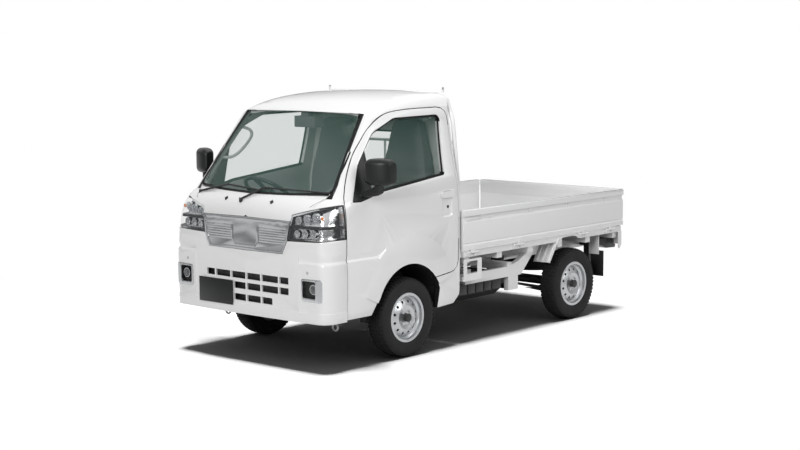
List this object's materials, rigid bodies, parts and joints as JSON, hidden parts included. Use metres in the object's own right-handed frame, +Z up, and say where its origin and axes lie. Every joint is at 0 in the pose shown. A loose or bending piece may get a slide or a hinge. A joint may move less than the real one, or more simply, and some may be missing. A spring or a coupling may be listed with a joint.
{
  "type": "kei truck",
  "caption": "Small cab-over pickup truck with a drop-side bed, opening doors, folding gates, steered front wheels and a guard frame behind the cab.",
  "frame": {"origin": "on the ground, in the middle of the overall length and width", "axes": "+X forward, +Y to the vehicle's left, +Z up"},
  "size_m": [3.395, 1.84, 1.7799],
  "materials": {
    "body_paint": "gloss white",
    "black_plastic": "fine grain",
    "grey_plastic": "grained",
    "gloss_black": "gloss",
    "chrome_trim": "bright",
    "lamp_clear": "clear",
    "lamp_red": "gloss",
    "window_glass": "green tint",
    "chassis_black": "satin black",
    "engine_metal": "cast",
    "wheel_silver": "silver",
    "tyre_rubber": "matte",
    "seat_fabric": "grey weave",
    "muffler_steel": "dull"
  },
  "bodies": {
    "root": {"cab_shell": "body_paint", "front_panel": "body_paint", "front_bumper": "body_paint", "bed_floor": "body_paint", "guard_frame": "body_paint", "cab_floor": "body_paint", "windscreen": "window_glass", "rear_window": "window_glass", "grille": "chrome_trim", "fog_lamps": "chrome_trim", "headlights": "gloss_black", "headlight_covers": "lamp_clear", "tail_lenses": "lamp_red", "nose_backing": "black_plastic", "dashboard": "grey_plastic", "seat_cushions": "seat_fabric", "seat_backs": "seat_fabric", "cab_fittings": "grey_plastic", "wipers": "black_plastic", "plate_front": "gloss_black", "frame": "body_paint", "drivetrain": "engine_metal", "rear_axle": "chassis_black", "leaf_springs": "chassis_black", "front_suspension": "chassis_black", "fuel_tank": "black_plastic", "exhaust": "muffler_steel", "spare_wheel": "tyre_rubber", "mudguards": "black_plastic", "rear_lamps": "black_plastic"},
    "steer_left": {"knuckle_left": "chassis_black"},
    "steer_right": {"knuckle_right": "chassis_black"},
    "door_body_left": {"door_left": "body_paint", "glass_left": "window_glass", "mirror_left": "gloss_black"},
    "door_body_right": {"door_right": "body_paint", "glass_right": "window_glass", "mirror_right": "gloss_black"},
    "gate_body_left": {"gate_left": "body_paint"},
    "gate_body_right": {"gate_right": "body_paint"},
    "tailgate_body": {"tailgate": "body_paint"},
    "steering_wheel_body": {"steering_wheel": "black_plastic"},
    "wheel_front_left": {"rim_front_left": "wheel_silver", "tyre_front_left": "tyre_rubber"},
    "wheel_front_right": {"rim_front_right": "wheel_silver", "tyre_front_right": "tyre_rubber"},
    "wheel_rear_left": {"rim_rear_left": "wheel_silver", "tyre_rear_left": "tyre_rubber"},
    "wheel_rear_right": {"rim_rear_right": "wheel_silver", "tyre_rear_right": "tyre_rubber"}
  },
  "joints": [
    {"name": "steer_left", "type": "hinge", "parent": "root", "child": "steer_left", "pos_m": [0.8825, 0.5905, 0.268], "axis": [0, -0.1564, 0.9877], "range_deg": [-36, 36]},
    {"name": "steer_right", "type": "hinge", "parent": "root", "child": "steer_right", "pos_m": [0.8825, -0.5905, 0.268], "axis": [0, 0.1564, 0.9877], "range_deg": [-36, 36]},
    {"name": "roll_front_left", "type": "hinge", "parent": "steer_left", "child": "wheel_front_left", "pos_m": [0.8825, 0.6525, 0.268], "axis": [0, 1, 0], "continuous": true},
    {"name": "roll_front_right", "type": "hinge", "parent": "steer_right", "child": "wheel_front_right", "pos_m": [0.8825, -0.6525, 0.268], "axis": [0, 1, 0], "continuous": true},
    {"name": "roll_rear_left", "type": "hinge", "parent": "root", "child": "wheel_rear_left", "pos_m": [-1.0175, 0.6525, 0.268], "axis": [0, 1, 0], "continuous": true},
    {"name": "roll_rear_right", "type": "hinge", "parent": "root", "child": "wheel_rear_right", "pos_m": [-1.0175, -0.6525, 0.268], "axis": [0, 1, 0], "continuous": true},
    {"name": "door_left", "type": "hinge", "parent": "root", "child": "door_body_left", "pos_m": [1.486, 0.7385, 0.8], "axis": [0, 0, -1], "range_deg": [0, 65]},
    {"name": "door_right", "type": "hinge", "parent": "root", "child": "door_body_right", "pos_m": [1.486, -0.7385, 0.8], "axis": [0, 0, 1], "range_deg": [0, 65]},
    {"name": "gate_left", "type": "hinge", "parent": "root", "child": "gate_body_left", "pos_m": [-0.663, 0.731, 0.64], "axis": [-1, 0, 0], "range_deg": [0, 170]},
    {"name": "gate_right", "type": "hinge", "parent": "root", "child": "gate_body_right", "pos_m": [-0.663, -0.731, 0.64], "axis": [1, 0, 0], "range_deg": [0, 170]},
    {"name": "tailgate_drop", "type": "hinge", "parent": "root", "child": "tailgate_body", "pos_m": [-1.6835, 0, 0.64], "axis": [0, -1, 0], "range_deg": [0, 170]},
    {"name": "steering_wheel_turn", "type": "hinge", "parent": "root", "child": "steering_wheel_body", "pos_m": [1.1375, -0.33, 1.062], "axis": [-0.6157, 0, 0.788], "range_deg": [-600, 600]}
  ],
  "couplings": [
    {"joint": "steer_right", "follows": "steer_left", "ratio": 1},
    {"joint": "steering_wheel_turn", "follows": "steer_left", "ratio": 16.66}
  ]
}
